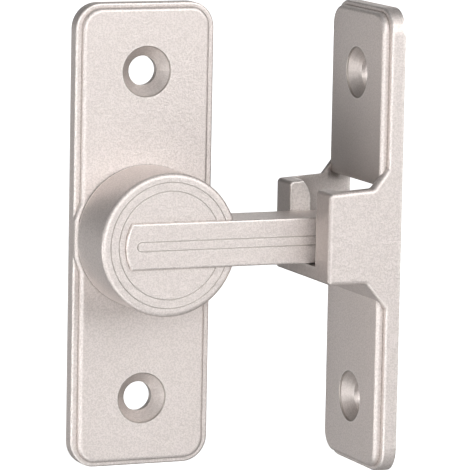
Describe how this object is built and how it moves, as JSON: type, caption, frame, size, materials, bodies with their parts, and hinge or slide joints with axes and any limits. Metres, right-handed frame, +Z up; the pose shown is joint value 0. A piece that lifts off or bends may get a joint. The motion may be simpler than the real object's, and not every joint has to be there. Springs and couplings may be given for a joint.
{
  "type": "door latch",
  "caption": "Flip-over door latch in satin nickel: a lock plate with a turning round knob and bar arm, and a right-angle keeper plate with an open-topped catch.",
  "frame": {"origin": "where the knob's axis meets the lock plate's back face, midway between its screw holes", "axes": "+Z up along both plates, -Y is the lock plate's front, +X points from the knob to the keeper"},
  "size_m": [0.0516, 0.0236, 0.08],
  "materials": {
    "satin_nickel": "satin",
    "white_plastic": "matte",
    "spring_steel": "satin",
    "zinc_steel": "satin"
  },
  "bodies": {
    "plates": {"lock_plate": "satin_nickel", "keeper": "satin_nickel", "thrust_washer": "white_plastic", "disc_spring": "spring_steel"},
    "knob": {"turn_knob": "satin_nickel", "flat_washer": "zinc_steel", "pivot_screw": "zinc_steel"}
  },
  "joints": [
    {"name": "knob_turn", "type": "hinge", "parent": "plates", "child": "knob", "pos_m": [0, -0.0057, 0], "axis": [0, -1, 0], "range_deg": [0, 180]}
  ]
}
